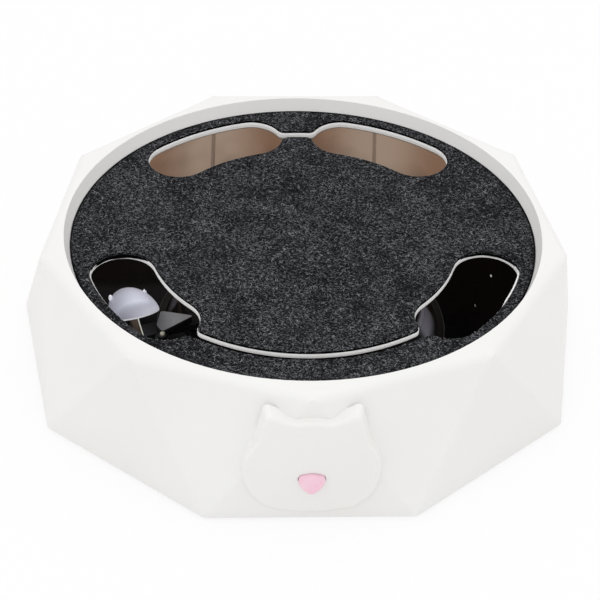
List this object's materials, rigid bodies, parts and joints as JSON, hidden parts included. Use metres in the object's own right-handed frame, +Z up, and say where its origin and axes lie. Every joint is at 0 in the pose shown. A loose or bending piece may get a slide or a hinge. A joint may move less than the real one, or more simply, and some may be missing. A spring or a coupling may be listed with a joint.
{
  "type": "rotating mouse cat toy",
  "caption": "Faceted round cat toy with a felt-covered pad, kidney-shaped windows, a cat-head front with a nose button, and a motor-driven mouse that runs round inside.",
  "frame": {"origin": "centre of the footprint, on the surface that the rubber feet stand on", "axes": "+Z up; -Y is the front with the cat head and its nose button; +X to the viewer's right"},
  "size_m": [0.2792, 0.2766, 0.0676],
  "materials": {
    "casing_white": "satin",
    "base_black": "glossy",
    "foot_rubber": "matte",
    "screw_steel": "plain",
    "plate_white": "satin",
    "felt_charcoal": "heather felt",
    "drum_black": "glossy",
    "bush_brass": "plain",
    "gear_white": "plain",
    "steel": "plain",
    "arm_black": "matte",
    "post_amber": "clear",
    "mouse_lilac": "milky",
    "roller_core_black": "plain",
    "roller_rubber": "matte",
    "nose_pink": "satin",
    "switch_black": "plain",
    "cell_jacket": "gloss",
    "contact_steel": "plain",
    "board_green": "plain"
  },
  "bodies": {
    "housing": {"outer_casing": "casing_white", "base_tray": "base_black", "rubber_feet": "foot_rubber", "casing_screws": "screw_steel", "pad_plate": "plate_white", "felt_pad": "felt_charcoal", "drum_cover": "drum_black", "drum_screws": "screw_steel", "shaft_bush": "bush_brass", "axle_pins": "steel", "motor_can": "steel", "battery_cells": "cell_jacket", "battery_contacts": "contact_steel", "battery_door": "base_black", "battery_door_screw": "screw_steel", "circuit_board": "board_green", "button_switch": "switch_black"},
    "rotor": {"output_gear": "gear_white", "output_shaft": "steel", "rotor_hub": "arm_black", "hub_screw": "screw_steel", "rotor_arm": "arm_black", "roller_guard": "arm_black", "guard_screw": "bush_brass", "mouse_post": "post_amber", "mouse_shell": "mouse_lilac", "roller_axle": "steel"},
    "roller": {"roller_core": "roller_core_black", "roller_tyre": "roller_rubber"},
    "gear_b": {"gear_b": "gear_white"},
    "gear_a": {"gear_a": "gear_white"},
    "motor_rotor": {"motor_pinion": "bush_brass", "motor_shaft": "steel"},
    "nose_button": {"nose_button": "nose_pink"}
  },
  "joints": [
    {"name": "rotor_spin", "type": "hinge", "parent": "housing", "child": "rotor", "pos_m": [0, -0.0035, 0.0255], "axis": [0, 0, 1], "continuous": true},
    {"name": "roller_spin", "type": "hinge", "parent": "rotor", "child": "roller", "pos_m": [-0.07647, -0.03255, 0.0143], "axis": [-0.9348, -0.3551, 0], "continuous": true},
    {"name": "gear_b_spin", "type": "hinge", "parent": "housing", "child": "gear_b", "pos_m": [-0.01353, 0.00142, 0.011], "axis": [0, 0, 1], "continuous": true},
    {"name": "gear_a_spin", "type": "hinge", "parent": "housing", "child": "gear_a", "pos_m": [-0.01001, 0.01456, 0.014], "axis": [0, 0, 1], "continuous": true},
    {"name": "motor_spin", "type": "hinge", "parent": "housing", "child": "motor_rotor", "pos_m": [0.00277, 0.01921, 0.014], "axis": [0, 0, 1], "continuous": true},
    {"name": "nose_press", "type": "slide", "parent": "housing", "child": "nose_button", "axis": [0, 1, 0], "range_m": [0, 0.0015], "stiffness_N_per_m": 400, "springref_m": -0.0005}
  ],
  "couplings": [
    {"joint": "gear_b_spin", "follows": "rotor_spin", "ratio": -3.5},
    {"joint": "gear_a_spin", "follows": "rotor_spin", "ratio": 11.375},
    {"joint": "motor_spin", "follows": "rotor_spin", "ratio": -36.969},
    {"joint": "roller_spin", "follows": "rotor_spin", "ratio": -10.225}
  ]
}
